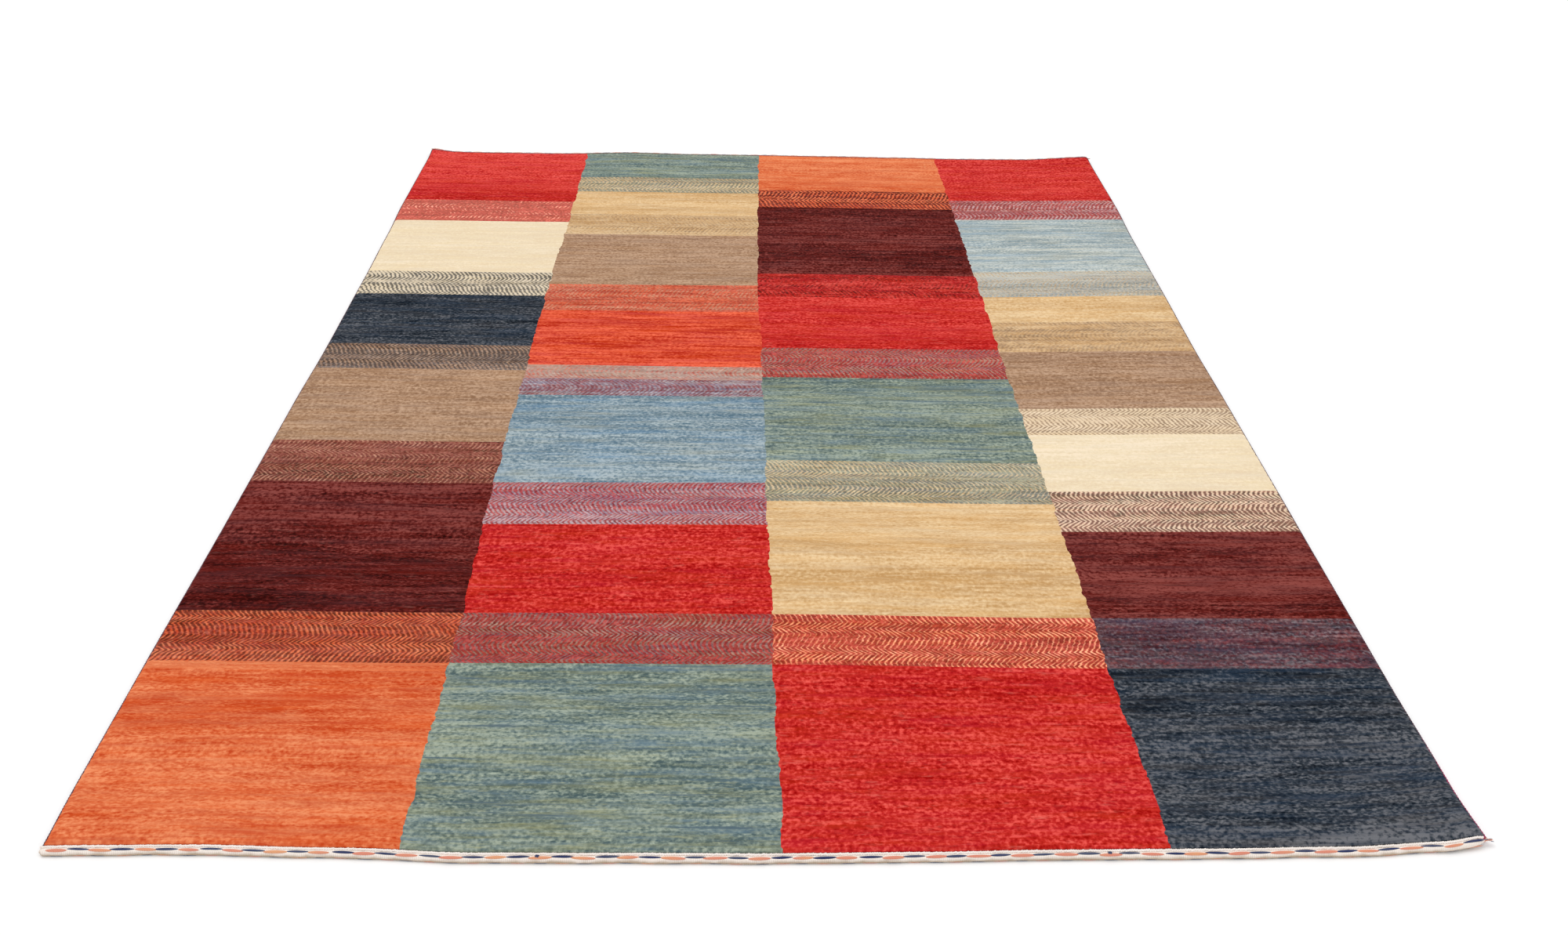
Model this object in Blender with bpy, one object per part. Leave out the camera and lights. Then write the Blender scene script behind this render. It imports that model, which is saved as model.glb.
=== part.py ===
"""Hand-knotted wool pile rug with folded flat-woven ends and overcast side cords.

The rug lies flat on its underside. +X runs across it, +Y along it to its far end, +Z up.
The origin is at the centre of its outline, on the underside. Sizes are in metres.
"""

import math

import bmesh
import bpy

# Driving dimensions
LENGTH = 3.010
WIDTH = 2.018
PILE_HEIGHT = 0.012
PILE_SIDE_HEIGHT = 0.0095
PILE_SIDE_ROUNDING = 0.005
HEM_HEIGHT = 0.009
HEM_EDGE_HEIGHT = 0.0055
HEM_EDGE_ROUNDING = 0.0035
GROOVE_HEIGHT = 0.0078
NEAR_HEM = 0.015
FAR_HEM = 0.010
HEM_STEP = 0.0015
CORD_RADIUS = 0.0035
CORD_GAP = 0.0003
CORD_LIFT = 0.0002
RIPPLE = 0.0006
FIELD_COLUMNS = 16
FIELD_ROWS = 26

# How far each side lies inside the widest line, at a distance along the rug
#       along,  left_in, right_in
SIDES = (
    (-1.50, 0.0065, 0.0000),
    (-1.35, 0.0045, 0.0060),
    (-1.10, 0.0055, 0.0100),
    (-0.60, 0.0085, 0.0110),
    (-0.15, 0.0095, 0.0120),
    (0.10, 0.0125, 0.0140),
    (0.50, 0.0105, 0.0110),
    (0.80, 0.0070, 0.0100),
    (1.05, 0.0010, 0.0045),
    (1.35, 0.0000, 0.0060),
    (1.50, 0.0010, 0.0090),
)

# How far each end lies inside the longest line, at a distance across the rug
#      across, near_in, far_in
ENDS = (
    (-1.00, 0.0200, 0.0000),
    (-0.95, 0.0205, 0.0080),
    (-0.80, 0.0210, 0.0125),
    (-0.60, 0.0140, 0.0170),
    (-0.40, 0.0035, 0.0070),
    (-0.20, 0.0020, 0.0200),
    (0.00, 0.0000, 0.0240),
    (0.20, 0.0015, 0.0320),
    (0.40, 0.0050, 0.0410),
    (0.60, 0.0060, 0.0500),
    (0.80, 0.0090, 0.0510),
    (0.94, 0.0170, 0.0340),
    (1.00, 0.0250, 0.0380),
)

# Corners that curl up off the floor: which corner, how high, and how far in
#       side, end, height, reach
CURLS = (
    (-1, 1, 0.0090, 0.110),
    (1, 1, 0.0070, 0.110),
    (1, -1, 0.0050, 0.140),
)


def read_table(rows, column, place):
    """The value of a table's column at a place, eased from row to row."""
    if place <= rows[0][0]:
        return rows[0][column]
    for before, after in zip(rows, rows[1:]):
        if place <= after[0]:
            part = (place - before[0]) / (after[0] - before[0])
            eased = part * part * (3.0 - 2.0 * part)
            return before[column] + (after[column] - before[column]) * eased
    return rows[-1][column]


def outer_side(side, along):
    """The outside of the side cord."""
    column = 1 if side < 0 else 2
    return side * (WIDTH / 2 - read_table(SIDES, column, along))


def pile_side(side, along):
    """The edge of the woven cloth, just inside the side cord."""
    return outer_side(side, along) - side * (2 * CORD_RADIUS + CORD_GAP)


def end_line(end, across):
    """The outer edge of a folded end."""
    column = 1 if end < 0 else 2
    return end * (LENGTH / 2 - read_table(ENDS, column, across))


def curl(x, y):
    """How far the corners lift a point off the floor."""
    lift = 0.0
    for side, end, height, reach in CURLS:
        corner_y = end_line(end, side)
        corner_x = outer_side(side, corner_y)
        nearness = max(0.0, 1.0 - math.hypot(x - corner_x, y - corner_y) / reach)
        lift += height * nearness * nearness
    return lift


def stations_along():
    """Rows from the near edge to the far edge: (end, distance in from it, height), or a field share."""
    def hem(end, depth):
        return [
            (end, 0.0, HEM_EDGE_HEIGHT),
            (end, HEM_EDGE_ROUNDING, HEM_HEIGHT),
            (end, depth - 2 * HEM_STEP, HEM_HEIGHT),
            (end, depth - HEM_STEP, GROOVE_HEIGHT),
            (end, depth, PILE_SIDE_HEIGHT),
            (end, depth + PILE_SIDE_ROUNDING, PILE_HEIGHT),
        ]
    field = [(0, share / FIELD_ROWS, PILE_HEIGHT) for share in range(1, FIELD_ROWS)]
    return hem(-1, NEAR_HEM) + field + hem(1, FAR_HEM)[::-1]


def row_place(station, across):
    """The place along the rug of a station's row, at a distance across."""
    end, value, _ = station
    if end:
        return end_line(end, across) - end * value
    near = end_line(-1, across) + NEAR_HEM + PILE_SIDE_ROUNDING
    far = end_line(1, across) - FAR_HEM - PILE_SIDE_ROUNDING
    return near + (far - near) * value


def make_cloth():
    """The woven rug: pile field and both folded ends as one slab, flat underneath."""
    rows = stations_along()
    columns = FIELD_COLUMNS + 2
    mesh = bmesh.new()
    bmesh.ops.create_grid(mesh, x_segments=columns, y_segments=len(rows) - 1, size=0.5)
    top_points = list(mesh.verts)
    for point in top_points:
        column = round((point.co.x + 0.5) * columns)
        station = rows[round((point.co.y + 0.5) * (len(rows) - 1))]
        share = (column - 1) / FIELD_COLUMNS
        across = 2.0 * min(max(share, 0.0), 1.0) - 1.0
        y = row_place(station, across)
        left, right = pile_side(-1, y), pile_side(1, y)
        if column == 0:
            x = left
        elif column == columns:
            x = right
        else:
            inner_left = left + PILE_SIDE_ROUNDING
            x = inner_left + (right - left - 2 * PILE_SIDE_ROUNDING) * share
        height = station[2]
        if column in (0, columns):
            height = min(height, PILE_SIDE_HEIGHT)
        if station[0] == 0 and column not in (0, columns):
            height += RIPPLE * math.sin(7.1 * x + 2.3 * y) * math.sin(4.7 * y - 1.9 * x)
        point.co = (x, y, height)
    extruded = bmesh.ops.extrude_face_region(mesh, geom=list(mesh.faces), use_keep_orig=True)
    for item in extruded["geom"]:
        if isinstance(item, bmesh.types.BMVert):
            item.co.z = 0.0
    for point in mesh.verts:
        point.co.z += curl(point.co.x, point.co.y)
    bmesh.ops.recalc_face_normals(mesh, faces=list(mesh.faces))
    data = bpy.data.meshes.new("rug_pile")
    mesh.to_mesh(data)
    mesh.free()
    data.shade_smooth()
    data.set_sharp_from_angle(angle=math.radians(30))
    return bpy.data.objects.new("rug_pile", data)


def make_cord(name, side):
    """A side cord, laid along the cloth's edge from one folded end to the other."""
    curve = bpy.data.curves.new(name, "CURVE")
    curve.dimensions = "3D"
    curve.bevel_depth = CORD_RADIUS
    curve.bevel_resolution = 2
    curve.use_fill_caps = True
    rows = stations_along()
    places = [row_place(station, side) for station in rows if station[0] == 0 or station[1] == 0.0]
    spline = curve.splines.new("POLY")
    spline.points.add(len(places) - 1)
    for point, y in zip(spline.points, places):
        x = outer_side(side, y) - side * CORD_RADIUS
        point.co = (x, y, CORD_RADIUS + CORD_LIFT + curl(x, y), 1.0)
    return bpy.data.objects.new(name, curve)


def make_material(name, color, roughness):
    """A dull woollen finish."""
    material = bpy.data.materials.new(name)
    material.use_nodes = True
    shader = material.node_tree.nodes["Principled BSDF"]
    shader.inputs["Base Color"].default_value = (*color, 1.0)
    shader.inputs["Roughness"].default_value = roughness
    shader.inputs["Metallic"].default_value = 0.0
    return material


for old in list(bpy.data.objects):
    bpy.data.objects.remove(old, do_unlink=True)

collection = bpy.data.collections.new("lori_rug")
bpy.context.scene.collection.children.link(collection)

cloth = make_cloth()
cloth.data.materials.append(make_material("pile_wool", (0.42, 0.10, 0.07), 0.95))
collection.objects.link(cloth)

for cord_name, cord_side in (("selvedge_left", -1), ("selvedge_right", 1)):
    cord = make_cord(cord_name, cord_side)
    cord.data.materials.append(make_material(cord_name + "_wool", (0.10, 0.03, 0.07), 0.9))
    collection.objects.link(cord)
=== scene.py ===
"""Looks of a hand-knotted wool rug in four columns of plain and two-yarn blocks.

The rug lies flat: +X runs across it, +Y along it to its far end, +Z up, in metres.
"""

import math
import random

import bmesh
import bpy
from mathutils import Matrix, Vector, noise


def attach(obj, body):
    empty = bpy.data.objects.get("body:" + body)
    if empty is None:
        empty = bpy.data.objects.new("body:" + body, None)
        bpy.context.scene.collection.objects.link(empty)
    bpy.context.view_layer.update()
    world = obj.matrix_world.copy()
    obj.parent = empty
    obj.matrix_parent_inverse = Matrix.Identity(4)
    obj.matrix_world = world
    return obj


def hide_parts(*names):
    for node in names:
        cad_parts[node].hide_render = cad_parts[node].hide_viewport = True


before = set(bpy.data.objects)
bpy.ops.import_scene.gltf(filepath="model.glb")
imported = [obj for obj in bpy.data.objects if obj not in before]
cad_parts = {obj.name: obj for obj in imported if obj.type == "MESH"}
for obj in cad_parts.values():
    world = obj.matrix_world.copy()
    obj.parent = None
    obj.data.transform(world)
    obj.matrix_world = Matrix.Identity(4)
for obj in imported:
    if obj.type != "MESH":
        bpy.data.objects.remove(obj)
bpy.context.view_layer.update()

# Camera: a 35 mm view from standing height, a step and a half back from the near end,
# turned a little to the right and tipped down onto the rug.
camera_data = bpy.data.cameras.new("camera")
camera_data.lens = 35.0
camera_data.sensor_width = 36.0
camera = bpy.data.objects.new("camera", camera_data)
camera_place = Vector((-0.0240, -3.0410, 1.5220))
camera_turn = math.radians(1.3531)
camera_tip = math.radians(30.0937)
camera_roll = math.radians(0.7659)
camera.matrix_world = (
    Matrix.Translation(camera_place)
    @ Matrix.Rotation(-camera_turn, 4, "Z")
    @ Matrix.Rotation(math.radians(90.0) - camera_tip, 4, "X")
    @ Matrix.Rotation(camera_roll, 4, "Z")
)
bpy.context.scene.collection.objects.link(camera)
bpy.context.scene.camera = camera

# Studio: an even white surround, one broad soft light high up behind the rug and to the left,
# and a plain pale floor that goes white under them.
studio = bpy.data.worlds.new("studio")
studio.use_nodes = True
studio.node_tree.nodes["Background"].inputs["Color"].default_value = (1.0, 1.0, 1.0, 1.0)
studio.node_tree.nodes["Background"].inputs["Strength"].default_value = 0.90
bpy.context.scene.world = studio
bpy.context.scene.view_settings.view_transform = "Standard"

key_data = bpy.data.lights.new("key_light", "SUN")
key_data.angle = math.radians(35.0)
key_data.energy = 0.74
key = bpy.data.objects.new("key_light", key_data)
key_place = Vector((-2.0, 1.6, 5.5))
key.matrix_world = Matrix.Translation(key_place) @ key_place.to_track_quat("Z", "Y").to_matrix().to_4x4()
bpy.context.scene.collection.objects.link(key)


def finish_piece(name, mesh, materials, slot, smooth=True):
    """Turns a bmesh into a piece of the rug with its materials, hung on the root body when it has a slot.
    """
    data = bpy.data.meshes.new(name)
    mesh.to_mesh(data)
    mesh.free()
    for material in materials:
        data.materials.append(material)
    if smooth:
        data.shade_smooth()
        data.set_sharp_from_angle(angle=math.radians(40.0))
    piece = bpy.data.objects.new(name, data)
    bpy.context.scene.collection.objects.link(piece)
    if slot:
        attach(piece, "root")
    return piece


class Signal:
    """A socket of a material, reckoned with like a number; each sum adds its Math node."""

    def __init__(self, tree, socket=None):
        self.tree = tree
        self.socket = socket

    def node(self, kind, settings, values, output=0):
        """Adds any node: its type, its settings, then the values or links of its sockets."""
        made = self.tree.nodes.new(kind)
        for setting, value in settings.items():
            if setting == "stops":
                while len(made.color_ramp.elements) < len(value):
                    made.color_ramp.elements.new(1.0)
                for element, (position, color) in zip(made.color_ramp.elements, value):
                    element.position = position
                    element.color = (*color, 1.0)
            else:
                setattr(made, setting, value)
        for socket, value in values.items():
            if isinstance(value, Signal):
                self.tree.links.new(value.socket, made.inputs[socket])
            else:
                made.inputs[socket].default_value = value
        return Signal(self.tree, made.outputs[output])

    def math(self, operation, *terms):
        """A Math node on any mix of numbers and signals."""
        return self.node("ShaderNodeMath", {"operation": operation}, dict(enumerate(terms)))

    def __add__(self, other):
        return self.math("ADD", self, other)

    __radd__ = __add__

    def __mul__(self, other):
        return self.math("MULTIPLY", self, other)

    __rmul__ = __mul__

    def __sub__(self, other):
        return self.math("SUBTRACT", self, other)

    def __rsub__(self, other):
        return self.math("SUBTRACT", other, self)

    def ease(self, low, high):
        """0 below low, 1 above high, and smooth between them."""
        settings = {"interpolation_type": "SMOOTHSTEP"}
        return self.node("ShaderNodeMapRange", settings, {"Value": self, "From Min": low, "From Max": high})

    def cloud(self, across, along, seed, detail=2.0, roughness=0.5):
        """Noise around 0 on this vector, in patches of a size across and along the rug."""
        settings = {"vector_type": "POINT"}
        values = {"Vector": self, "Location": (seed, seed * 0.7, seed * 0.4)}
        values["Scale"] = (1.0 / across, 1.0 / along, 1.0 / across)
        spread = self.node("ShaderNodeMapping", settings, values)
        values = {"Vector": spread, "Scale": 1.0, "Detail": detail, "Roughness": roughness}
        return self.node("ShaderNodeTexNoise", {}, values) - 0.5

    def blend(self, first, second):
        """Mixes two colours by this share."""
        return self.node("ShaderNodeMix", {"data_type": "RGBA"}, {0: self, 6: first, 7: second}, output=2)


def start_material(name, specular=0.02, sheen=0.0):
    """A dull material, its shader and a signal to build on."""
    material = bpy.data.materials.new(name)
    material.use_nodes = True
    shader = material.node_tree.nodes["Principled BSDF"]
    shader.inputs["Roughness"].default_value = 0.92
    shader.inputs["Specular IOR Level"].default_value = specular
    shader.inputs["Sheen Weight"].default_value = sheen
    return material, shader, Signal(material.node_tree)


floor_mesh = bmesh.new()
bmesh.ops.create_circle(floor_mesh, cap_ends=True, segments=64, radius=40.0)
floor_material, floor_shader, _ = start_material("floor_white", specular=0.0)
floor_shader.inputs["Base Color"].default_value = (0.95, 0.95, 0.95, 1.0)
floor = finish_piece("floor", floor_mesh, [floor_material], None, smooth=False)

# Outline of the rug, as woven: its sides wander by a few millimetres, its ends bow,
# and three corners curl up off the floor.
LENGTH = 3.010
WIDTH = 2.018
CORD_RADIUS = 0.0035
CORD_GAP = 0.0003
NEAR_HEM = 0.015
FAR_HEM = 0.010

# How far each side lies inside the widest line, at a distance along the rug
#       along,  left_in, right_in
SIDES = (
    (-1.50, 0.0065, 0.0000),
    (-1.35, 0.0045, 0.0060),
    (-1.10, 0.0055, 0.0100),
    (-0.60, 0.0085, 0.0110),
    (-0.15, 0.0095, 0.0120),
    (0.10, 0.0125, 0.0140),
    (0.50, 0.0105, 0.0110),
    (0.80, 0.0070, 0.0100),
    (1.05, 0.0010, 0.0045),
    (1.35, 0.0000, 0.0060),
    (1.50, 0.0010, 0.0090),
)

# How far each end lies inside the longest line, at a distance across the rug
#      across, near_in, far_in
ENDS = (
    (-1.00, 0.0200, 0.0000),
    (-0.95, 0.0205, 0.0080),
    (-0.80, 0.0210, 0.0125),
    (-0.60, 0.0140, 0.0170),
    (-0.40, 0.0035, 0.0070),
    (-0.20, 0.0020, 0.0200),
    (0.00, 0.0000, 0.0240),
    (0.20, 0.0015, 0.0320),
    (0.40, 0.0050, 0.0410),
    (0.60, 0.0060, 0.0500),
    (0.80, 0.0090, 0.0510),
    (0.94, 0.0170, 0.0340),
    (1.00, 0.0250, 0.0380),
)

# Corners that curl up: which corner, how high, and how far in
#       side, end, height, reach
CURLS = (
    (-1, 1, 0.0090, 0.110),
    (1, 1, 0.0070, 0.110),
    (1, -1, 0.0050, 0.140),
)


def read_table(rows, column, place):
    """The value of a table's column at a place, eased from row to row."""
    if place <= rows[0][0]:
        return rows[0][column]
    for before, after in zip(rows, rows[1:]):
        if place <= after[0]:
            part = (place - before[0]) / (after[0] - before[0])
            eased = part * part * (3.0 - 2.0 * part)
            return before[column] + (after[column] - before[column]) * eased
    return rows[-1][column]


def outer_side(side, along):
    """The outside of the side cord."""
    return side * (WIDTH / 2 - read_table(SIDES, 1 if side < 0 else 2, along))


def pile_side(side, along):
    """The edge of the woven cloth, just inside the side cord."""
    return outer_side(side, along) - side * (2 * CORD_RADIUS + CORD_GAP)


def end_line(end, across):
    """The outer edge of a folded end."""
    return end * (LENGTH / 2 - read_table(ENDS, 1 if end < 0 else 2, across))


def curl(x, y):
    """How far the corners lift a point off the floor."""
    lift = 0.0
    for side, end, height, reach in CURLS:
        corner_y = end_line(end, side)
        corner_x = outer_side(side, corner_y)
        nearness = max(0.0, 1.0 - math.hypot(x - corner_x, y - corner_y) / reach)
        lift += height * nearness * nearness
    return lift


# Rows of knots. Each row runs from side to side; the rows sag towards the middle and the
# right, as a hand-beaten web does, and the first and the last follow the folded ends.
ROWS = 705
ROW_STATIONS = (-1.00, -0.53, 0.00, 0.53, 1.00)

# How far the rows lie from their place at the left side, at each station across, minus for
# nearer, in metres
#      along,    station 1, station 2, station 3, station 4, station 5
ROW_DROPS = (
    (-1.00, 0.000, -0.008, -0.012, -0.025, -0.026),
    (-0.40, 0.000, -0.008, -0.010, -0.021, -0.015),
    (0.10, 0.000, -0.012, -0.023, -0.030, -0.019),
    (0.55, 0.000, -0.011, -0.016, -0.026, -0.012),
    (1.10, 0.000, -0.012, -0.022, -0.037, -0.028),
)


def pile_end(end, across):
    """The edge of the pile along a folded end."""
    return end_line(end, across) - end * (NEAR_HEM if end < 0 else FAR_HEM)


ROWS_START = pile_end(-1, -1.0)
ROW_PITCH = (pile_end(1, -1.0) - ROWS_START) / ROWS


def row_line(x, row):
    """The place along the rug of a row's lower edge, at a distance across."""
    left = ROWS_START + row * ROW_PITCH
    drops = [(ROWS_START, pile_end(-1, x) - ROWS_START)]
    for along, *sags in ROW_DROPS:
        drops.append((along, read_table(list(zip(ROW_STATIONS, sags)), 1, x)))
    last = ROWS_START + ROWS * ROW_PITCH
    drops.append((last, pile_end(1, x) - last))
    return left + read_table(drops, 1, left)


def row_at(x, y):
    """The row whose lower edge passes nearest to a point."""
    row = (y - ROWS_START) / ROW_PITCH
    for _ in range(6):
        row += (y - row_line(x, row)) / ROW_PITCH
    return min(max(round(row), 0), ROWS)


# Borders between the columns. The weaver moves a border by a knot now and then, so it
# steps in and out by one or two knots from row to row.
KNOT = 0.004

# Where the three borders run, at a distance along the rug
#      along,  first,  second, third
BORDERS = (
    (-1.48, -0.510, 0.018, 0.557),
    (-1.00, -0.513, 0.009, 0.550),
    (-0.50, -0.525, 0.002, 0.547),
    (0.00, -0.527, -0.004, 0.539),
    (0.50, -0.530, -0.011, 0.537),
    (1.00, -0.527, -0.011, 0.532),
    (1.48, -0.528, -0.009, 0.526),
)


def stepped_border(column, seed):
    """A border's place across for every row line: the drawn line, moved by whole knots."""
    steps = random.Random(seed)
    places = []
    step = 0
    held = 0
    for row in range(ROWS + 1):
        if held == 0:
            step = max(-1, min(1, step + steps.choice((-1, 0, 1))))
            held = steps.choice((1, 2, 2, 3, 4))
        held -= 1
        along = ROWS_START + row * ROW_PITCH
        ragged = steps.uniform(-0.0006, 0.0006)
        places.append(read_table(BORDERS, column, along) + step * KNOT * 0.5 + ragged)
    return places


column_borders = [
    [pile_side(-1, row_line(-1.0, row)) for row in range(ROWS + 1)],
    stepped_border(1, 11),
    stepped_border(2, 12),
    stepped_border(3, 13),
    [pile_side(1, row_line(1.0, row)) for row in range(ROWS + 1)],
]

# The chart: the blocks of each column from the far end to the near end. A block of one name
# is plain, a block of two is knotted by turns, and the number is where its near edge lies
# at the middle of the column. The last block of a column runs down to the near end. A plain
# block's tone then follows, from paler (+) to deeper (-), at its far edge, middle and near
# edge. For two yarns it is how far the first outweighs the second, how bright they are, partly
# as painted shade between the knots, how clearly their knots stand apart and, where the turns
# are loose, how regular they are.
CHART = (
    (
        ("red", 1.061, (0.48, 0.20, -0.26)), ("red cream", 0.899, (0.47, 0.99, 0.80)),
        ("cream", 0.548, (-0.35, -0.30, -0.38)), ("cream navy", 0.406, (-0.01, 1.00, 0.75)),
        ("navy", 0.122, (-0.28, -0.14, -0.03)), ("navy taupe", -0.006, (0.12, 1.08, 0.65)),
        ("taupe", -0.329, (-0.10, -0.05, -0.03)), ("taupe maroon", -0.496, (-0.30, 0.98, 0.85)),
        ("burgundy", -0.922, (0.07, 0.02, -0.46)), ("maroon orange", -1.062, (0.16, 1.01, 0.80)),
        ("orange", -1.081, (0.24, 0.34, 0.24)), ("orange", -1.5, (-0.33, 0.02, -0.22)),
    ),
    (
        ("teal", 1.257, (0.14, 0.01, -0.14)), ("teal gold", 1.133, (0.09, 0.96, 0.80)),
        ("gold", 0.951, (-0.24, -0.20, -0.04)), ("gold taupe", 0.802, (0.30, 0.91, 0.70)),
        ("taupe", 0.468, (0.04, -0.08, 0.12)), ("taupe vermilion", 0.310, (-0.14, 1.01, 1.20, 0.60)),
        ("vermilion", 0.016, (-0.10, -0.28, -0.15)), ("vermilion grey", -0.052, (-0.14, 1.03, 1.00, 0.45)),
        ("rose blue", -0.130, (-0.01, 1.01, 1.00, 0.45)), ("blue", -0.493, (-0.18, 0.0, -0.09)),
        ("blue red", -0.648, (-0.01, 0.92, 1.00)), ("red", -0.929, (-0.05, -0.07, -0.10)),
        ("red teal", -1.070, (0.18, 0.75, 1.35)), ("teal", -1.5, (-0.20, 0.03, -0.12)),
    ),
    (
        ("orange", 1.148, (0.32, 0.18, -0.16)), ("orange maroon", 1.013, (-0.12, 1.03, 1.35)),
        ("burgundy", 0.536, (-0.12, -0.06, -0.02)), ("burgundy red", 0.390, (-0.22, 0.86, 1.10, 0.60)),
        ("red", 0.108, (0.24, 0.06, -0.28)), ("red teal", -0.044, (0.15, 0.87, 1.50)),
        ("teal", -0.414, (-0.22, 0.02, 0.08)), ("teal gold", -0.570, (0.21, 1.05, 0.85)),
        ("gold", -0.936, (0.04, -0.30, -0.28)), ("gold red", -1.078, (-0.36, 1.03, 1.15)),
        ("red", -1.5, (-0.05, -0.08, 0.01)),
    ),
    (
        ("red", 1.079, (0.24, 0.20, 0.06)), ("red light_blue", 0.932, (0.18, 0.85, 0.90)),
        ("light_blue", 0.562, (-0.42, -0.08, 0.24)), ("light_blue gold", 0.407, (0.21, 0.86, 1.05)),
        ("gold", 0.256, (-0.14, -0.12, -0.12)), ("gold taupe", 0.095, (0.10, 0.93, 0.80, 0.40)),
        ("taupe", -0.182, (-0.10, -0.02, -0.06)), ("taupe cream", -0.298, (-0.05, 0.98, 0.85)),
        ("cream", -0.524, (0.02, 0.0, -0.04)), ("cream maroon", -0.670, (-0.14, 1.00, 0.75)),
        ("burgundy", -0.945, (0.28, 0.42, 0.14)), ("maroon navy", -1.083, (-0.25, 1.30, 0.75, 0.15)),
        ("navy", -1.5, (-0.24, -0.10, 0.12)),
    ),
)


def chart_blocks():
    """Every block as (column, yarns, first row, last row, tone)."""
    blocks = []
    for column, chart in enumerate(CHART):
        middle = (column_borders[column][ROWS // 2] + column_borders[column + 1][ROWS // 2]) / 2
        last_row = ROWS
        for yarns, near_edge, tone in chart:
            first_row = row_at(middle, near_edge)
            blocks.append((column, yarns.split(), first_row, last_row, tone))
            last_row = first_row
    return blocks


# Pile: cut wool knots, 12 mm high with the foundation and lower round the rim. Every yarn is
# one piece, made of its blocks; the two-yarn bands of a column are one piece. Each block is
# a slab whose top has a line of points for every row of knots.
PILE_HEIGHT = 0.012
RIM_HEIGHT = 0.0095
RIM_ROUNDING = 0.005
RIPPLE = 0.0006
FOUNDATION = 0.0030
SEAT = 0.0002
CELLS = 16
UNEVENNESS = 0.0004
# How far the outermost tufts lean out over the side cords, and how far they stray from that
OVERHANG = 0.0024
FRAY = 0.0007
ON_THE_SIDE = 0.0005


def pile_top(x, y, rim):
    """The height of the pile's surface, with its distance from the rug's rim."""
    shoulder = max(0.0, 1.0 - rim / RIM_ROUNDING)
    height = PILE_HEIGHT - (PILE_HEIGHT - RIM_HEIGHT) * shoulder * shoulder
    height += RIPPLE * math.sin(7.1 * x + 2.3 * y) * math.sin(4.7 * y - 1.9 * x) * (1.0 - shoulder)
    height += UNEVENNESS * noise.noise(Vector((x * 28.0, y * 120.0, 1.3))) * (1.0 - shoulder)
    return height


def add_block(mesh, column, first_row, last_row, tone, material_index):
    """Adds one block of knots to a mesh, standing on the foundation."""
    far_tone, middle_tone, near_tone = tone
    lots = ((0.0, near_tone), (0.5, middle_tone), (1.0, far_tone))
    knots = mesh.verts.layers.float_vector["knots"]
    rows = last_row - first_row
    tufts = random.Random(first_row + 1000 * column)
    made = bmesh.ops.create_grid(mesh, x_segments=CELLS, y_segments=rows, size=0.5)["verts"]
    for point in made:
        across = point.co.x + 0.5
        row = first_row + round((point.co.y + 0.5) * rows)
        left = column_borders[column][row]
        right = column_borders[column + 1][row]
        x = left + (right - left) * across
        if column == 0 and round(across * CELLS) == 1:
            x = left + RIM_ROUNDING
        if column == 3 and round(across * CELLS) == CELLS - 1:
            x = right - RIM_ROUNDING
        y = row_line(x, row)
        rim = min(x - pile_side(-1, y), pile_side(1, y) - x, row * ROW_PITCH, (ROWS - row) * ROW_PITCH)
        point[knots] = (x, row * ROW_PITCH, read_table(lots, 1, (row - first_row) / rows))
        point.co = (x, y, pile_top(x, y, max(rim, 0.0)))
    faces = list({face for point in made for face in point.link_faces})
    extruded = bmesh.ops.extrude_face_region(mesh, geom=faces, use_keep_orig=True)["geom"]
    under = [item for item in extruded if isinstance(item, bmesh.types.BMVert)]
    for point in under:
        point.co.z = FOUNDATION + SEAT
    for side, outer_column in ((-1, 0), (1, 3)):
        if column == outer_column:
            for point in made:
                if abs(point.co.x - pile_side(side, point.co.y)) < ON_THE_SIDE:
                    point.co.x += side * (OVERHANG + tufts.uniform(-FRAY, FRAY))
    points = made + under
    for point in points:
        point.co.z += curl(point.co.x, point.co.y)
    for face in {face for point in points for face in point.link_faces}:
        face.material_index = material_index


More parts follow.
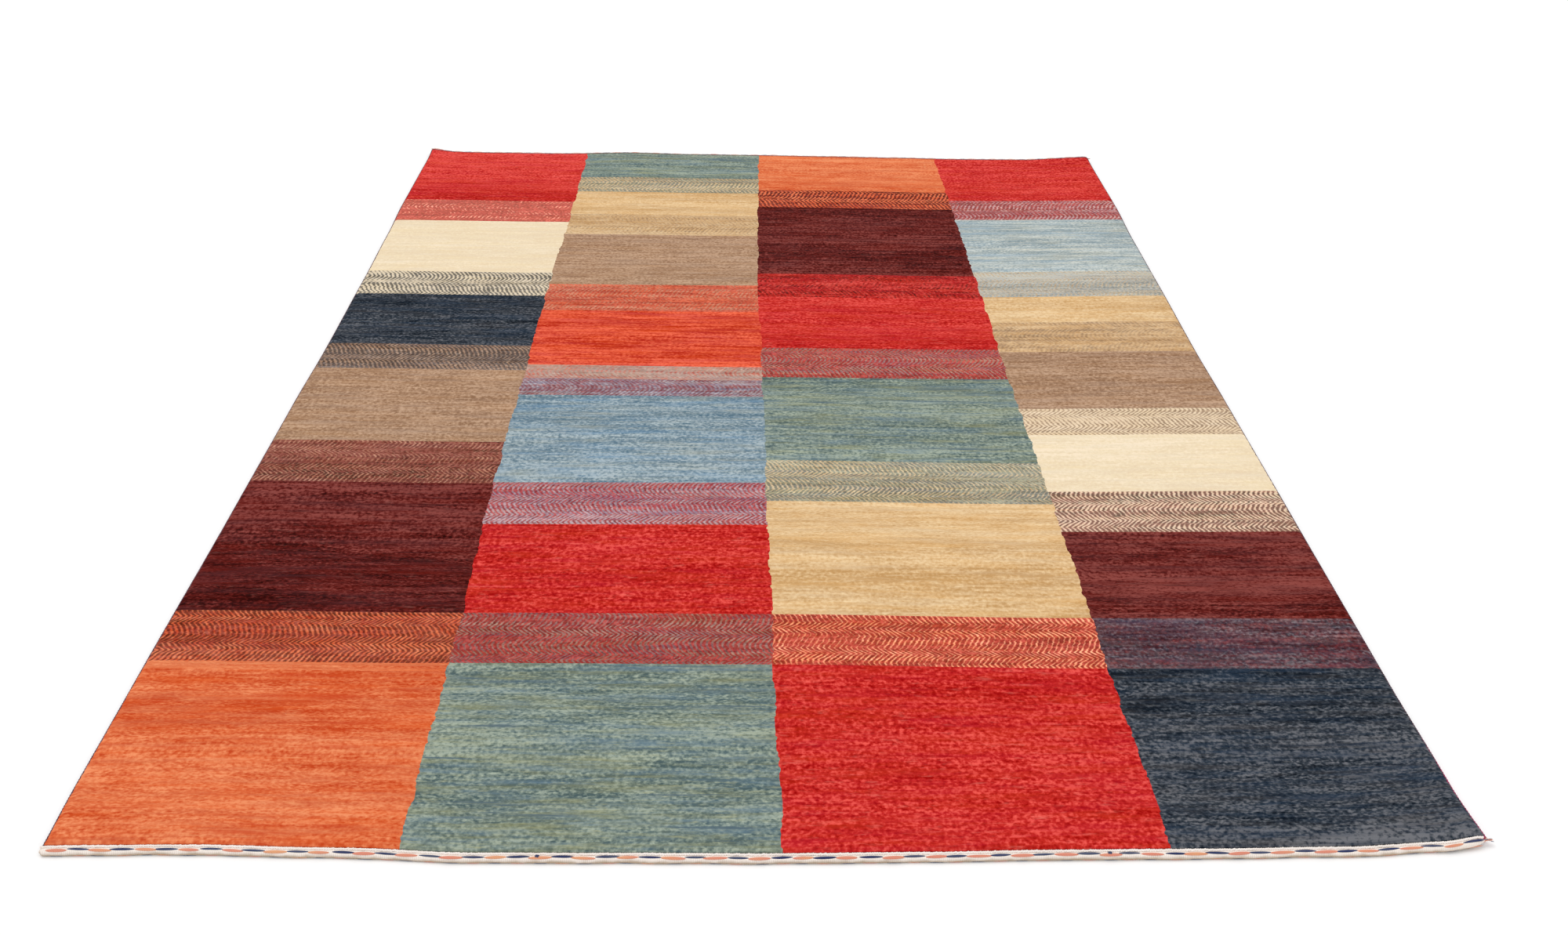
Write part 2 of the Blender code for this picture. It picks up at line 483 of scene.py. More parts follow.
# Yarns: hand-spun wool, dyed in small lots, so each colour runs in streaks along the rows.
# Tones are deep, middle and light. The shares say how far long bands, row streaks, clouds and
# tufts move the tone. Strands of other colours run in, pale ones and dark ones, and so do tints
# of nearly the same depth: (colour, how much of it shows).
YARNS = {
    "red": {
        "tones": ((0.385, 0.007, 0.006), (0.535, 0.021, 0.017), (0.740, 0.074, 0.060)),
        "shares": (0.75, 0.95, 0.75, 1.4),
        "strands": (((0.820, 0.190, 0.150), 0.30), ((0.350, 0.006, 0.008), 0.30)),
        "tints": (((0.580, 0.042, 0.012), 0.60), ((0.500, 0.014, 0.034), 0.50)),
    },
    "orange": {
        "tones": ((0.560, 0.078, 0.022), (0.680, 0.148, 0.053), (0.800, 0.245, 0.105)),
        "shares": (1.8, 1.0, 1.6, 1.1),
        "strands": (((0.860, 0.360, 0.160), 0.30), ((0.560, 0.060, 0.018), 0.35)),
        "tints": (((0.730, 0.120, 0.026), 0.60), ((0.630, 0.180, 0.085), 0.60)),
    },
    "vermilion": {
        "tones": ((0.500, 0.034, 0.013), (0.670, 0.080, 0.037), (0.830, 0.135, 0.068)),
        "shares": (2.4, 2.0, 1.3, 1.3),
        "strands": (((0.860, 0.230, 0.100), 0.30), ((0.420, 0.022, 0.012), 0.35)),
        "tints": (((0.710, 0.078, 0.010), 0.60), ((0.620, 0.082, 0.075), 0.60)),
    },
    "teal": {
        "tones": ((0.100, 0.142, 0.135), (0.185, 0.236, 0.203), (0.310, 0.365, 0.300)),
        "shares": (1.4, 1.3, 1.1, 1.4),
        "strands": (((0.380, 0.390, 0.230), 0.45), ((0.085, 0.130, 0.160), 0.65)),
        "tints": (((0.255, 0.258, 0.125), 0.75), ((0.135, 0.212, 0.275), 0.75)),
    },
    "gold": {
        "tones": ((0.560, 0.335, 0.145), (0.685, 0.452, 0.228), (0.800, 0.575, 0.325)),
        "shares": (1.7, 1.1, 0.9, 1.0),
        "strands": (((0.860, 0.680, 0.430), 0.35), ((0.580, 0.360, 0.165), 0.45)),
        "tints": (((0.730, 0.430, 0.170), 0.60), ((0.640, 0.468, 0.290), 0.60)),
    },
    "taupe": {
        "tones": ((0.295, 0.165, 0.095), (0.398, 0.240, 0.147), (0.505, 0.325, 0.212)),
        "shares": (1.2, 1.4, 1.0, 1.5),
        "strands": (((0.560, 0.390, 0.270), 0.25), ((0.240, 0.140, 0.090), 0.30)),
        "tints": (((0.425, 0.232, 0.118), 0.60), ((0.370, 0.248, 0.182), 0.60)),
    },
    "cream": {
        "tones": ((0.775, 0.625, 0.430), (0.815, 0.675, 0.468), (0.870, 0.725, 0.528)),
        "shares": (1.6, 1.4, 1.0, 1.2),
        "strands": (((0.900, 0.780, 0.600), 0.20), ((0.740, 0.580, 0.390), 0.20)),
        "tints": (((0.835, 0.668, 0.400), 0.60), ((0.790, 0.685, 0.530), 0.60)),
    },
    "navy": {
        "tones": ((0.013, 0.018, 0.026), (0.036, 0.045, 0.058), (0.120, 0.125, 0.140)),
        "shares": (1.5, 1.2, 1.0, 1.4),
        "strands": (((0.165, 0.168, 0.172), 0.35), ((0.010, 0.022, 0.045), 0.35)),
        "tints": (((0.050, 0.046, 0.047), 0.70), ((0.024, 0.045, 0.080), 0.70)),
    },
    "burgundy": {
        "tones": ((0.045, 0.004, 0.003), (0.112, 0.0115, 0.0095), (0.220, 0.048, 0.040)),
        "shares": (1.2, 1.2, 0.9, 1.2),
        "strands": (((0.300, 0.110, 0.095), 0.25), ((0.030, 0.004, 0.006), 0.45)),
        "tints": (((0.135, 0.009, 0.005), 0.70), ((0.090, 0.022, 0.024), 0.70)),
    },
    "blue": {
        "tones": ((0.130, 0.200, 0.250), (0.235, 0.310, 0.350), (0.370, 0.445, 0.475)),
        "shares": (1.5, 1.3, 0.9, 1.5),
        "strands": (((0.480, 0.520, 0.520), 0.35), ((0.090, 0.165, 0.245), 0.50)),
        "tints": (((0.310, 0.320, 0.260), 0.70), ((0.170, 0.298, 0.440), 0.70)),
    },
    "light_blue": {
        "tones": ((0.270, 0.330, 0.345), (0.412, 0.462, 0.452), (0.560, 0.600, 0.570)),
        "shares": (2.6, 1.8, 1.2, 1.5),
        "strands": (((0.700, 0.680, 0.580), 0.50), ((0.170, 0.240, 0.270), 0.35)),
        "tints": (((0.490, 0.468, 0.360), 0.70), ((0.340, 0.455, 0.540), 0.70)),
    },
    "rose": {
        "tones": ((0.250, 0.030, 0.036), (0.330, 0.050, 0.054), (0.480, 0.115, 0.110)),
        "shares": (1.4, 1.2, 0.9, 1.2),
        "strands": (((0.600, 0.250, 0.230), 0.20), ((0.200, 0.030, 0.060), 0.20)),
        "tints": (((0.380, 0.045, 0.030), 0.60), ((0.290, 0.050, 0.090), 0.60)),
    },
    "maroon": {
        "tones": ((0.085, 0.009, 0.008), (0.190, 0.020, 0.017), (0.310, 0.070, 0.058)),
        "shares": (1.2, 1.2, 0.9, 1.2),
        "strands": (((0.400, 0.120, 0.090), 0.25), ((0.060, 0.006, 0.008), 0.40)),
        "tints": (((0.220, 0.018, 0.010), 0.60), ((0.160, 0.024, 0.040), 0.60)),
    },
    "grey": {
        "tones": ((0.250, 0.265, 0.225), (0.320, 0.340, 0.285), (0.430, 0.430, 0.370)),
        "shares": (1.4, 1.2, 0.9, 1.2),
        "strands": (((0.500, 0.450, 0.350), 0.20), ((0.180, 0.220, 0.250), 0.25)),
        "tints": (((0.360, 0.335, 0.230), 0.60), ((0.280, 0.340, 0.340), 0.60)),
    },
}
BAND_YARNS = ("rose", "maroon", "grey")
# Colour of the last rows at the far end: the dark wefts, and painted shade where the pile meets the fold
SHADED_DARK_WEFT = (0.120, 0.045, 0.062, 1.0)


def yarn_color(signal, place, lot, yarn, seed):
    """The colour of a yarn at a place: long bands, row streaks, clouds and tufts of its tones."""
    look = YARNS[yarn]
    bands, streaks, clouds, tufts = look["shares"]
    tone = lot + 0.5 + place.cloud(1.1, 0.070, seed + 1.0, 4.0, 0.60) * (1.6 * bands)
    tone = tone + place.cloud(0.130, 0.0085, seed + 2.0, 3.0, 0.65) * (2.0 * streaks)
    tone = tone + place.cloud(0.070, 0.045, seed + 3.0, 4.0, 0.65) * (1.0 * clouds)
    tone = tone + place.cloud(0.0068, 0.0068, seed + 4.0, 2.0, 0.50) * (2.5 * tufts)
    deep, middle, light = look["tones"]
    deepest = tuple(max(0.001, a + (a - b) * 0.4) for a, b in zip(deep, middle))
    lightest = tuple(a + (a - b) * 0.4 for a, b in zip(light, middle))
    stops = ((0.0, deepest), (0.15, deep), (0.5, middle), (0.85, light), (1.0, lightest))
    color = signal.node("ShaderNodeValToRGB", {"stops": stops}, {"Fac": tone * 0.7 + 0.15})
    for number, (tint, amount) in enumerate(look["tints"]):
        run = place.cloud(0.210, 0.018, seed + 5.0 + number, 5.0, 0.72)
        color = (run.ease(-0.08, 0.26) * amount).blend(color, (*tint, 1.0))
    (pale, pale_share), (dark, dark_share) = look["strands"]
    flecks = place.cloud(0.036, 0.007, seed + 7.0, 3.0, 0.70).ease(0.04, 0.30)
    color = (flecks * (1.6 * pale_share)).blend(color, (*pale, 1.0))
    lines = place.cloud(0.280, 0.0115, seed + 8.0, 4.0, 0.66).ease(0.07, 0.21)
    return (lines * (1.5 * dark_share)).blend(color, (*dark, 1.0))


def pile_bump(signal, place, shader):
    """The cut ends of the knots: fine tufts in rows."""
    rows = signal.node("ShaderNodeSeparateXYZ", {}, {"Vector": place}, output=1) * (2 * math.pi / ROW_PITCH)
    height = signal.math("COSINE", rows) * 0.12
    height = height + place.cloud(0.0070, 0.0070, 21.0, 1.0) * 1.6
    bump = signal.node("ShaderNodeBump", {}, {"Strength": 0.40, "Distance": 0.0015, "Height": height})
    signal.tree.links.new(bump.socket, shader.inputs["Normal"])


def knot_place(signal):
    """Where a knot lies: the place across and up the rows, and the lot that its block was dyed in."""
    place = signal.node("ShaderNodeAttribute", {"attribute_name": "knots"}, {}, output=1)
    parts = signal.tree.nodes.new("ShaderNodeSeparateXYZ")
    signal.tree.links.new(place.socket, parts.inputs[0])
    x, y, lot = (Signal(signal.tree, socket) for socket in parts.outputs)
    return place, x, y, lot


def plain_wool(yarn, seed):
    """Pile of one yarn. The last rows at the far end are darkened to the dark wefts behind them, partly as
    painted shade where the pile meets the fold.
    """
    material, shader, signal = start_material("wool_" + yarn)
    place, _, y, lot = knot_place(signal)
    color = yarn_color(signal, place, lot, yarn, seed)
    # The last rows at the far end go dark: the dark wefts, partly painted shade
    weft_and_shade_rows = (y * (1.0 / ROW_PITCH) + place.cloud(0.060, 1.0, seed) * 1.6).ease(ROWS - 3.2, ROWS - 1.6)
    color = (weft_and_shade_rows * 0.85).blend(color, SHADED_DARK_WEFT)
    signal.tree.links.new(color.socket, shader.inputs["Base Color"])
    pile_bump(signal, place, shader)
    return material


def mixed_wool(name, yarns, seed, far_share, balance, brightness_and_gap_shade, contrast, order=1.0):
    """Pile of two yarns by turns. Every row is moved on a little, so the stripes lean. The lean
    turns back after some rows, in chevrons, and is steeper in some rows than in others. The
    further up the rug a band lies, the wider and the less regular are its stripes."""
    material, shader, signal = start_material(name)
    place, x, y, lot = knot_place(signal)
    stripe = 0.0084 + 0.0036 * far_share
    turn_rows = 4.0 + 11.0 * far_share
    shift_per_row = 0.40 - 0.26 * far_share
    regular = 0.5 * order * (1.0 - 0.45 * far_share)
    softness = 0.46 - 0.22 * far_share
    rows = y * (1.0 / ROW_PITCH) + place.cloud(0.16, 0.06, seed + 5.0, 2.0) * 6.0
    rows = rows + signal.math("SINE", rows * 0.38 + seed) * 1.4
    lean = signal.math("PINGPONG", rows, turn_rows)
    phase = x * (1.0 / stripe) + lean * shift_per_row
    phase = phase + place.cloud(0.050, 0.007, seed + 6.0, 4.0, 0.65) * 1.2
    wave = signal.math("SINE", phase * (2 * math.pi)) * regular
    wave = wave + place.cloud(0.40, 0.018, seed + 7.0, 3.0) * 1.2
    wave = wave + place.cloud(0.020, 0.014, seed + 8.0, 2.0) * 1.1
    share = ((wave + balance).ease(-softness, softness) - 0.5) * contrast + 0.5
    first = yarn_color(signal, place, lot, yarns[0], seed + 9.0)
    second = yarn_color(signal, place, lot, yarns[1], seed)
    knots = share.blend(second, first)
    # The tufts lend each other their hue, so they stand apart by depth more than by hue
    colors = {"data_type": "RGBA"}
    even = signal.node("ShaderNodeMix", colors, {0: 0.5 + 0.66 * balance, 6: second, 7: first}, output=2)
    depth = signal.math(
        "DIVIDE",
        signal.node("ShaderNodeRGBToBW", {}, {"Color": knots}),
        signal.node("ShaderNodeRGBToBW", {}, {"Color": even}),
    )
    lent = signal.node("ShaderNodeVectorMath", {"operation": "SCALE"}, {0: even, "Scale": depth})
    color = signal.node("ShaderNodeMix", colors, {0: 0.55, 6: knots, 7: lent}, output=2)
    # The band's brightness: mostly a darkening, partly painted shade in the gaps between knots of two
    # colours
    lit = signal.node("ShaderNodeVectorMath", {"operation": "SCALE"}, {0: color, "Scale": brightness_and_gap_shade})
    signal.tree.links.new(lit.socket, shader.inputs["Base Color"])
    pile_bump(signal, place, shader)
    return material


for number, yarn in enumerate(name for name in YARNS if name not in BAND_YARNS):
    yarn_mesh = bmesh.new()
    yarn_mesh.verts.layers.float_vector.new("knots")
    for column, yarns, first_row, last_row, tone in chart_blocks():
        if yarns == [yarn]:
            add_block(yarn_mesh, column, first_row, last_row, tone, 0)
    bmesh.ops.recalc_face_normals(yarn_mesh, faces=list(yarn_mesh.faces))
    piece = finish_piece("pile_" + yarn, yarn_mesh, [plain_wool(yarn, 10.0 + number)], "wool_" + yarn)
    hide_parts("rug_pile")

for column in range(4):
    band_mesh = bmesh.new()
    band_mesh.verts.layers.float_vector.new("knots")
    band_materials = []
    for owner, yarns, first_row, last_row, tone in chart_blocks():
        if owner == column and len(yarns) == 2:
            add_block(band_mesh, column, first_row, last_row, (0.0, 0.0, 0.0), len(band_materials))
            seed = 30.0 + 7.0 * column + len(band_materials)
            name = "wool_" + "_and_".join(yarns) + f"_{column + 1}"
            far_share = (first_row + last_row) / 2 / ROWS
            band_materials.append(mixed_wool(name, yarns, seed, far_share, *tone))
    bmesh.ops.recalc_face_normals(band_mesh, faces=list(band_mesh.faces))
    piece = finish_piece(f"pile_bands_{column + 1}", band_mesh, band_materials, "wool_mixed")
    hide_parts("rug_pile")

# Foundation: the woven back that the knots are tied on, cotton warps under wine-red wefts.
# The backs of the knots show on it in the colours of the blocks.
BACK_CELLS = 6
BACK_ROWS = 235
WEFT_RED = (0.110, 0.030, 0.045, 1.0)
WARP_COTTON = (0.60, 0.52, 0.46, 1.0)

back_mesh = bmesh.new()
back_place = back_mesh.verts.layers.float_vector.new("knots")
back_first = back_mesh.loops.layers.float_color.new("first_yarn")
back_second = back_mesh.loops.layers.float_color.new("second_yarn")
bmesh.ops.create_grid(back_mesh, x_segments=4 * BACK_CELLS, y_segments=BACK_ROWS, size=0.5)
for point in back_mesh.verts:
    cell = round((point.co.x + 0.5) * 4 * BACK_CELLS)
    row = round((point.co.y + 0.5) * BACK_ROWS) * ROWS // BACK_ROWS
    column = min(cell // BACK_CELLS, 3)
    left = column_borders[column][row]
    right = column_borders[column + 1][row]
    x = left + (right - left) * (cell - column * BACK_CELLS) / BACK_CELLS
    point[back_place] = (x, row * ROW_PITCH, 0.0)
    point.co = (x, row_line(x, row), FOUNDATION)
blocks = chart_blocks()
for face in back_mesh.faces:
    rows_here = [point[back_place].y / ROW_PITCH for point in face.verts]
    middle_row = sum(rows_here) / 4
    middle_x = face.calc_center_median().x
    column = sum(middle_x > column_borders[border][round(middle_row)] for border in (1, 2, 3))
    for owner, yarns, first_row, last_row, _ in blocks:
        if owner == column and first_row <= middle_row < last_row:
            for loop in face.loops:
                loop[back_first] = (*YARNS[yarns[0]]["tones"][1], 1.0)
                loop[back_second] = (*YARNS[yarns[-1]]["tones"][1], 1.0)
thickened = bmesh.ops.extrude_face_region(back_mesh, geom=list(back_mesh.faces), use_keep_orig=True)["geom"]
for item in thickened:
    if isinstance(item, bmesh.types.BMVert):
        item.co.z = 0.0
for point in back_mesh.verts:
    point.co.z += curl(point.co.x, point.co.y)
bmesh.ops.recalc_face_normals(back_mesh, faces=list(back_mesh.faces))

back_material, back_shader, back_signal = start_material("knot_backs")
place, x, y, _ = knot_place(back_signal)
first = back_signal.node("ShaderNodeAttribute", {"attribute_name": "first_yarn"}, {})
second = back_signal.node("ShaderNodeAttribute", {"attribute_name": "second_yarn"}, {})
turn = back_signal.math("SINE", x * (math.pi / KNOT) + y * (math.pi / ROW_PITCH)).ease(-0.3, 0.3)
knot_backs = turn.blend(first, second)
weft = back_signal.math("COSINE", y * (2 * math.pi / ROW_PITCH)).ease(0.45, 0.95)
knot_backs = (weft * 0.75).blend(knot_backs, WEFT_RED)
knot_backs = (place.cloud(0.030, 0.012, 3.0) * 0.6 + 0.10).blend(knot_backs, WARP_COTTON)
back_signal.tree.links.new(knot_backs.socket, back_shader.inputs["Base Color"])
ribs = back_signal.math("COSINE", y * (2 * math.pi / ROW_PITCH))
ribs = ribs + back_signal.math("COSINE", x * (2 * math.pi / KNOT))
bump = back_signal.node("ShaderNodeBump", {}, {"Strength": 0.5, "Distance": 0.0008, "Height": ribs * 0.5})
back_signal.tree.links.new(bump.socket, back_shader.inputs["Normal"])
back = finish_piece("rug_back", back_mesh, [back_material], "hem_cotton")
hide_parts("rug_pile")

# Folded ends: the cotton warps and a narrow flat weave, turned under and stitched down. The
# fold stands proud of the floor by its own thickness and is undyed, with painted shade below.
FOLD_CELLS = 420
# The near fold in section: how far in from the outer edge, and how high
FOLD_SECTION = (
    (0.0146, 0.0002), (0.0040, 0.0002), (0.0012, 0.0010), (0.0002, 0.0028), (0.0003, 0.0054),
    (0.0016, 0.0074), (0.0040, 0.0084), (0.0075, 0.0085), (0.0115, 0.0082), (0.0146, 0.0074),
)
FOLD_MIDDLE_DEPTH = 0.0075
FOLD_MIDDLE_HEIGHT = 0.0043
# The share of the width over which the fold is pinched together at its left and right side
LEFT_PINCH = 0.0022
RIGHT_PINCH = 0.0110
# Above this height the cotton has no painted shade
SHADE_TOP = 0.0081
RIB_PITCH = 0.0026


def end_wave(end, x, depth):
    """How far the folded end's edge swings in, less and less towards the pile."""
    swing = 0.0008 + 0.0014 * noise.noise(Vector((x * 17.0, end * 9.0, 2.0)))
    return swing * max(0.0, 1.0 - depth / 0.014)


def end_point(end, across, depth, height):
    """A point on a folded end: a share of the way across, a depth in from the edge, a height."""
    left = outer_side(-1, end_line(end, -1.0))
    right = outer_side(1, end_line(end, 1.0)) - CORD_RADIUS * 2
    x = left * (1.0 - across) + right * across
    y = end_line(end, x) - end * (depth + end_wave(end, x, depth))
    return Vector((x, y, height + curl(x, y)))


def add_fold(mesh, end, scale):
    """Adds one folded end: its section swept from side to side, rounded off at both sides."""
    rounds = len(FOLD_SECTION)
    made = bmesh.ops.create_grid(mesh, x_segments=FOLD_CELLS, y_segments=rounds, size=0.5)["verts"]
    for point in made:
        across = point.co.x + 0.5
        turn = round((point.co.y + 0.5) * rounds) % rounds
        depth, height = FOLD_SECTION[turn]
        pinch = max(0.0, 1.0 - across / LEFT_PINCH, 1.0 - (1.0 - across) / RIGHT_PINCH)
        middle_depth = FOLD_MIDDLE_DEPTH + 0.0030 * pinch * pinch * (across > 0.5)
        shrink = 1.0 - 0.60 * pinch * pinch
        depth = middle_depth + (depth - middle_depth) * shrink
        height = FOLD_MIDDLE_HEIGHT + (height - FOLD_MIDDLE_HEIGHT) * shrink
        ruffle = noise.noise(Vector((across * 260.0, turn * 0.8, end * 3.0)))
        swell = noise.noise(Vector((across * 42.0, turn * 0.4, end * 7.0)))
        height += (0.00035 * ruffle + 0.00035 * swell) * (height > 0.001)
        depth += 0.0003 * ruffle
        point.co = end_point(end, across, depth * scale, height)
    bmesh.ops.remove_doubles(mesh, verts=made, dist=0.00002)
    bmesh.ops.holes_fill(mesh, edges=[edge for edge in mesh.edges if edge.is_boundary], sides=0)


def cotton_material(name, unshaded, shade_below):
    """Undyed cotton with fine upright ribs, and painted shade darkening it towards the floor."""
    material, shader, signal = start_material(name)
    place = signal.node("ShaderNodeTexCoord", {}, {}, output=3)
    x = signal.node("ShaderNodeSeparateXYZ", {}, {"Vector": place}, output=0)
    z = signal.node("ShaderNodeSeparateXYZ", {}, {"Vector": place}, output=2)
    # Painted shade: below this height the cotton darkens towards the floor
    shade = (SHADE_TOP - z) * 170.0 + place.cloud(0.020, 0.010, 4.0, 3.0) * 1.2
    color = shade.ease(0.0, 1.0).blend((*unshaded, 1.0), (*shade_below, 1.0))
    ribs = signal.math("COSINE", x * (2 * math.pi / RIB_PITCH) + place.cloud(0.02, 0.02, 9.0) * 6.0)
    # Painted shade in the grooves between the ribs
    color = (ribs.ease(0.3, 1.0) * 0.22).blend(color, (*(tone * 0.55 for tone in shade_below), 1.0))
    signal.tree.links.new(color.socket, shader.inputs["Base Color"])
    bump = signal.node("ShaderNodeBump", {}, {"Strength": 0.5, "Distance": 0.0006, "Height": ribs * -0.5})
    signal.tree.links.new(bump.socket, shader.inputs["Normal"])
    return material


# The second colour is painted shade at the foot of the fold
cotton = cotton_material("hem_cotton", (0.930, 0.835, 0.760), (0.490, 0.375, 0.272))
for name, end, scale in (("hem_near", -1, 1.0), ("hem_far", 1, FAR_HEM / NEAR_HEM)):
    fold_mesh = bmesh.new()
    add_fold(fold_mesh, end, scale)
    bmesh.ops.recalc_face_normals(fold_mesh, faces=list(fold_mesh.faces))
    piece = finish_piece(name, fold_mesh, [cotton], "hem_cotton")
    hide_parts("rug_pile")

# Twined end finish: next to the pile a white cotton cord, and on the fold's outer edge and
# again under it a pair of navy and coral yarns twined by turns, so each shows as a lens.
END_WIDTH = 2.0
BRAID_PITCH = 0.0034
FLOAT_PITCH = 0.0303
PLY_PITCH = 0.0034
# Length, width and thickness of a stitch of the white cord, of a loose yarn end, of a stitch
# under the fold and of a tie across the cord; then where the ties are, as a share of the width
BRAID_STITCH = (0.0066, 0.0040, 0.0030)
LOOSE_END = (0.0160, 0.0013, 0.0012)
LOWER_STITCH = (0.028, 0.0018, 0.0020)
TIE = (0.0070, 0.0042, 0.0034)
TIE_PLACES = (0.341, 0.735)


def plain_lens(name, sides, rings):
    """A round lens of yarn, one unit across, from which stitches are drawn out."""
    mesh = bmesh.new()
    bmesh.ops.create_uvsphere(mesh, u_segments=sides, v_segments=rings, radius=0.5)
    data = bpy.data.meshes.new(name)
    mesh.to_mesh(data)
    mesh.free()
    return data


def add_lens(mesh, lens, end, across, depth, height, length, width, thickness, slant):
    """Adds one stitch: a lens of yarn lying along the end, turned by a slant."""
    before = len(mesh.verts)
    mesh.from_mesh(lens)
    mesh.verts.ensure_lookup_table()
    base = end_point(end, across, depth, 0.0)
    for point in mesh.verts[before:]:
        along = point.co.z * length
        out = point.co.x * width
        up = point.co.y * thickness
        x = base.x + along * math.cos(slant) - out * math.sin(slant)
        y = base.y + end_line(end, x) - end_line(end, base.x)
        y += along * math.sin(slant) + out * math.cos(slant)
        point.co = (x, y, height + up + curl(x, y))


def yarn_material(name, color, other, seed):
    """Twisted yarn: a main colour with strands of another, and slanting plies with painted shade in their
    grooves.
    """
    material, shader, signal = start_material(name)
    place = signal.node("ShaderNodeTexCoord", {}, {}, output=3)
    x, y = (signal.node("ShaderNodeSeparateXYZ", {}, {"Vector": place}, output=axis) for axis in (0, 1))
    ply = signal.math("SINE", (x + y * 1.4) * (2 * math.pi / PLY_PITCH))
    tone = place.cloud(0.060, 0.060, seed, 2.0).ease(-0.12, 0.22)
    mixed = tone.blend((*color, 1.0), (*other, 1.0))
    # Painted shade in the grooves between the plies
    mixed = (ply.ease(0.2, 1.0) * 0.30).blend(mixed, (*(part * 0.45 for part in color), 1.0))
    signal.tree.links.new(mixed.socket, shader.inputs["Base Color"])
    bump = signal.node("ShaderNodeBump", {}, {"Strength": 0.4, "Distance": 0.0006, "Height": ply * -0.5})
    signal.tree.links.new(bump.socket, shader.inputs["Normal"])
    return material


navy_yarn = yarn_material("navy_yarn", (0.035, 0.045, 0.120), (0.095, 0.110, 0.170), 5.0)
coral_yarn = yarn_material("coral_yarn", (0.720, 0.270, 0.190), (0.780, 0.380, 0.200), 6.0)
white_yarn = yarn_material("white_yarn", (0.950, 0.870, 0.815), (0.880, 0.790, 0.720), 7.0)
short_lens = plain_lens("short_lens", 6, 4)
long_lens = plain_lens("long_lens", 8, 10)
stitches = random.Random(31)
for end, end_name, scale in ((-1, "near", 1.0), (1, "far", FAR_HEM / NEAR_HEM)):
    braid_mesh = bmesh.new()
    turns = round(END_WIDTH / BRAID_PITCH)
    for turn in range(turns):
        across = (turn + 0.8) / (turns + 0.6)
        lean = math.radians(32.0 + stitches.uniform(-8.0, 8.0))
        depth = (0.0112 + stitches.uniform(-0.0004, 0.0004)) * scale
        height = 0.0090 + stitches.uniform(-0.0003, 0.0003)
        add_lens(braid_mesh, short_lens, end, across, depth, height, *BRAID_STITCH, lean)
    navy_mesh = bmesh.new()
    coral_mesh = bmesh.new()
    for mesh in (navy_mesh, coral_mesh, braid_mesh, coral_mesh, navy_mesh, braid_mesh, coral_mesh):
        slant = stitches.uniform(-0.9, 0.7)
        depth = 0.0100 + stitches.uniform(-0.0035, 0.0035)
        add_lens(mesh, long_lens, end, 1.0030, depth, 0.0045, *LOOSE_END, slant)
    piece = finish_piece(f"end_cord_{end_name}", braid_mesh, [white_yarn], "hem_cotton")
    floats = round(END_WIDTH / FLOAT_PITCH)
    for number in range(floats):
        across = (number + 0.75) / (floats + 0.35) + stitches.uniform(-0.0012, 0.0012)
        lean = math.radians(stitches.uniform(-3.0, 3.0))
        is_navy = number % 2 == 1
        mesh = navy_mesh if is_navy else coral_mesh
        length = stitches.uniform(0.030, 0.035) if is_navy else stitches.uniform(0.029, 0.036)
        width = stitches.uniform(0.0036, 0.0046) if is_navy else stitches.uniform(0.0046, 0.0060)
        depth = (0.0056 if is_navy else 0.0042) + stitches.uniform(-0.0007, 0.0007)
        add_lens(mesh, long_lens, end, across, depth * scale, 0.0084, length, width, 0.0028, lean)
        under = coral_mesh if is_navy else navy_mesh
        add_lens(under, long_lens, end, across, 0.0016, 0.0016, *LOWER_STITCH, 0.0)
    if end < 0:
        for across in TIE_PLACES:
            for lean in (-0.9, 0.6):
                add_lens(navy_mesh, short_lens, end, across, 0.0062, 0.0094, *TIE, lean)
    for yarn_name, mesh, material in (("navy", navy_mesh, navy_yarn), ("coral", coral_mesh, coral_yarn)):
        piece = finish_piece(f"end_twining_{end_name}_{yarn_name}", mesh, [material], yarn_name + "_yarn")

# Side cords: two warps of the rug's edge, overcast with dyed wool, turn beside turn, from
# fold to fold. The wool is plum, and crimson at the near right corner.
TURN_PITCH = 0.0056
TURN_STEPS = 4
CORD_SIDES = 10


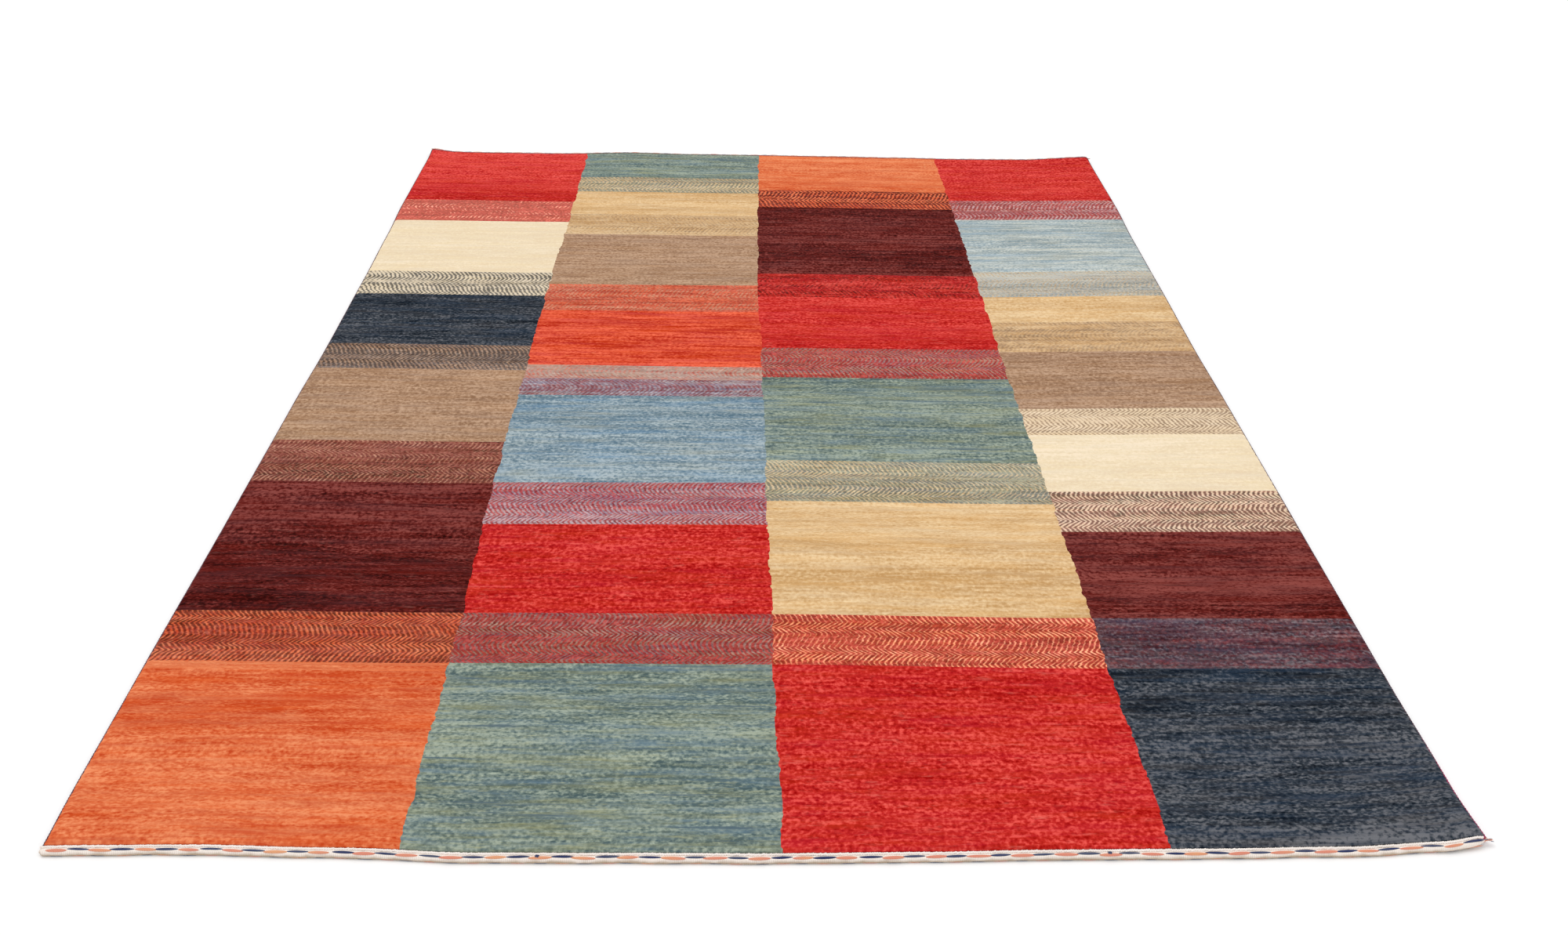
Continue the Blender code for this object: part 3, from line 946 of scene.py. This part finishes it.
def add_side_cord(mesh, side):
    """Adds one overcast side cord, from fold to fold."""
    start = end_line(-1, side) + NEAR_HEM
    stop = end_line(1, side) - FAR_HEM
    steps = round((stop - start) / TURN_PITCH) * TURN_STEPS
    bmesh.ops.create_grid(mesh, x_segments=CORD_SIDES, y_segments=steps, size=0.5)
    for point in mesh.verts:
        share = point.co.y + 0.5
        angle = (point.co.x + 0.5) * 2 * math.pi
        y = start + (stop - start) * share
        turn = 2 * math.pi * round(share * steps) / TURN_STEPS
        swell = math.cos(turn + angle * side)
        uneven = noise.noise(Vector((y * 90.0, math.cos(angle), side * 5.0)))
        radius = CORD_RADIUS * (0.93 + 0.07 * swell + 0.05 * uneven)
        x = outer_side(side, y) - side * CORD_RADIUS + radius * math.cos(angle)
        z = CORD_RADIUS + CORD_GAP + radius * math.sin(angle)
        point.co = (x, y, max(z, 0.0002) + curl(x, y))
    bmesh.ops.remove_doubles(mesh, verts=list(mesh.verts), dist=0.00001)
    bmesh.ops.holes_fill(mesh, edges=[edge for edge in mesh.edges if edge.is_boundary], sides=0)
    bmesh.ops.recalc_face_normals(mesh, faces=list(mesh.faces))


side_material, side_shader, side_signal = start_material("side_wool")
place = side_signal.node("ShaderNodeTexCoord", {}, {}, output=3)
x, y = (side_signal.node("ShaderNodeSeparateXYZ", {}, {"Vector": place}, output=axis) for axis in (0, 1))
worn = place.cloud(0.050, 0.050, 2.0, 3.0).ease(-0.15, 0.25)
plum = worn.blend((0.085, 0.036, 0.054, 1.0), (0.210, 0.130, 0.160, 1.0))
crimson = x.ease(0.90, 0.99) * (1.0 - y.ease(-1.34, -1.22))
side_color = crimson.blend(plum, (0.400, 0.050, 0.130, 1.0))
# Painted shade in the gaps between the turns of the overcast wool
turns = side_signal.math("COSINE", y * (2 * math.pi / TURN_PITCH))
side_color = (turns.ease(0.2, 1.0) * 0.3).blend(side_color, (0.020, 0.008, 0.014, 1.0))
side_signal.tree.links.new(side_color.socket, side_shader.inputs["Base Color"])
for side_name, side in (("left", -1), ("right", 1)):
    side_mesh = bmesh.new()
    add_side_cord(side_mesh, side)
    piece = finish_piece(f"side_cord_{side_name}", side_mesh, [side_material], "side_wool")
    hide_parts(f"selvedge_{side_name}")
